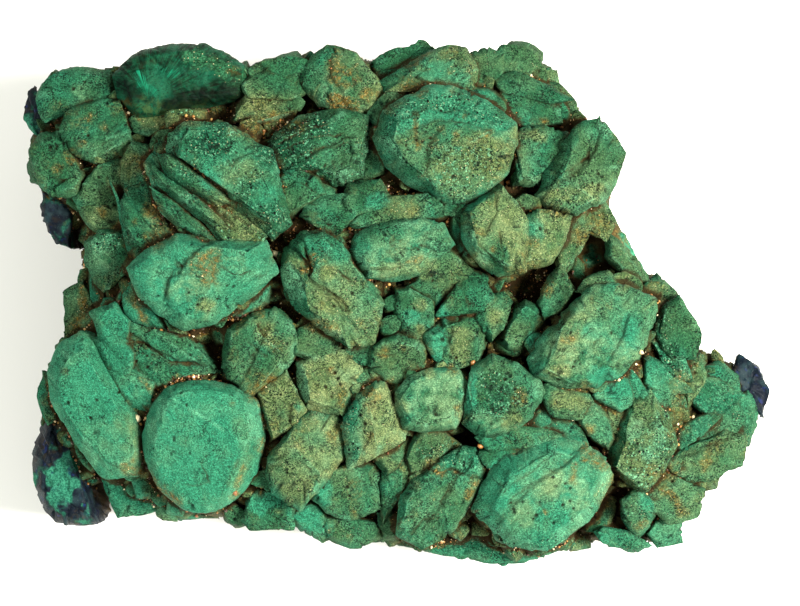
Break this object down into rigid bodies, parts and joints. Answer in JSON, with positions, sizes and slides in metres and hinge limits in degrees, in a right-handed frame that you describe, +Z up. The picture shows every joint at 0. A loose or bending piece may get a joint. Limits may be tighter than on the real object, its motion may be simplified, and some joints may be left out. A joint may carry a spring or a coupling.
{
  "type": "malachite after azurite crystal cluster on limonite matrix",
  "caption": "Free-standing mineral specimen: blunt, gritty green malachite crystals with dark azurite ends, grown on a limonite bed that is cut flat to rest on.",
  "frame": {"origin": "centre of the bounding box, on the flat cut underside of the rock bed", "axes": "+X along the cluster's length, towards its narrow end; +Z up from the cut face; -Y towards the low front edge, to which the crystal field leans by 12 degrees"},
  "size_m": [0.0752, 0.0516, 0.029],
  "materials": {
    "green_malachite": "dull, gritty teal green with olive and rust stains",
    "iron_stained_malachite": "dull olive green, stained by iron",
    "silky_malachite": "silky, fibrous emerald green broken face",
    "azurite": "blue-black, slightly glossy, with a green bloom",
    "limonite": "dull brown rock with green crusts"
  },
  "bodies": {
    "root": {"matrix_bed": "limonite", "crystal_left_great": "green_malachite", "plate_stack_upper": "green_malachite", "crystal_top_great": "green_malachite", "crystal_ridged_block": "green_malachite", "crystal_right_long": "green_malachite", "crystal_pale_oval": "green_malachite", "triple_plate_centre": "green_malachite", "crystal_smooth_box": "green_malachite", "crystal_round_centre": "green_malachite", "crystal_front_great": "green_malachite", "crystal_pillow_front_left": "green_malachite", "crystal_two_faced": "green_malachite", "crystal_diagonal_ridge": "green_malachite", "crystal_front_wedge": "green_malachite", "crystal_upper_block": "green_malachite", "crystal_upper_right_great": "green_malachite", "crystal_small_arch": "green_malachite", "crystal_centre_slant": "green_malachite", "crystal_left_shoulder": "green_malachite", "plate_stack_middle": "green_malachite", "plate_stack_lower": "green_malachite", "crystal_low_centre": "green_malachite", "crystal_centre_notch": "green_malachite", "crystal_hidden_shoulder": "green_malachite", "crystal_gold_spotted": "green_malachite", "crystal_centre_upright": "green_malachite", "crystal_centre_shield": "green_malachite", "crystal_stack_neighbour": "green_malachite", "crystal_mid_left": "green_malachite", "crystal_olive_right": "green_malachite", "crystal_brown_upper": "iron_stained_malachite", "crystal_brown_lower": "iron_stained_malachite", "crystal_bright_small": "green_malachite", "crystal_pointed_cap": "green_malachite", "crystal_side_low_left": "green_malachite", "crystal_long_left": "green_malachite", "crystal_left_gap_filler": "green_malachite", "crystal_front_gritty": "green_malachite", "crystal_front_slim": "green_malachite", "crystal_left_smooth": "green_malachite", "crystal_upper_right_box": "green_malachite", "crystal_ridge_stained": "green_malachite", "crystal_top_middle": "green_malachite", "crystal_top_right_lump": "green_malachite", "crystal_fibrous_broken": "silky_malachite", "crystal_thin_plate_back": "green_malachite", "crystal_northwest_broad": "green_malachite", "crystal_west_plate": "green_malachite", "crystal_west_cube": "green_malachite", "crystal_northwest_knob": "green_malachite", "crystal_top_far": "green_malachite", "crystal_right_smooth": "green_malachite", "crystal_right_olive_block": "green_malachite", "crystal_right_front_lump": "green_malachite", "crystal_right_disc": "green_malachite", "azurite_left_upper": "azurite", "azurite_left_point": "azurite", "azurite_front_left": "azurite", "azurite_right_point": "azurite"}
  },
  "joints": []
}
